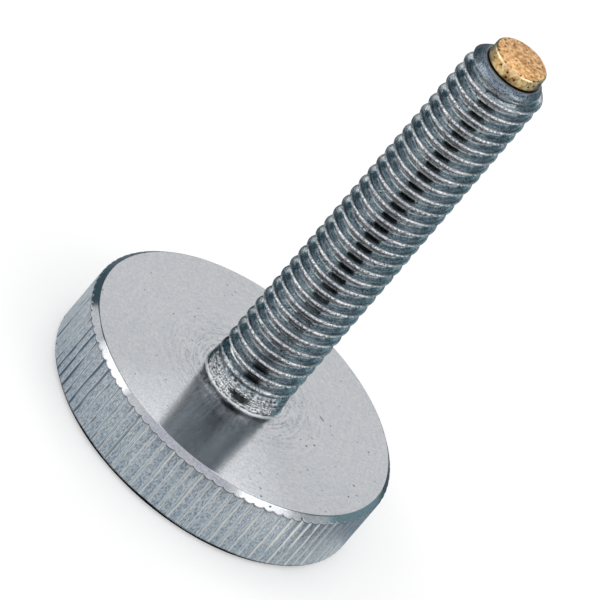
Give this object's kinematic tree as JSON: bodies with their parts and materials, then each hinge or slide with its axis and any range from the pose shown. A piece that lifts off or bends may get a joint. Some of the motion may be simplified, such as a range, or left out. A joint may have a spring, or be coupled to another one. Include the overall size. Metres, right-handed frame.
{
  "type": "thumb screw",
  "caption": "Flat knurled thumb screw in steel with a metric threaded stem and a small brass pressure tip.",
  "frame": {"origin": "centre of the head's back face, where the screw stands on its head", "axes": "+Z along the screw's axis, from the head towards the brass tip; X and Y lie in the head's back face"},
  "size_m": [0.0237, 0.0236, 0.037],
  "materials": {
    "turned_steel": "turned, bare",
    "tip_brass": "turned, matt end"
  },
  "bodies": {
    "root": {"screw": "turned_steel", "brass_tip": "tip_brass"}
  },
  "joints": []
}
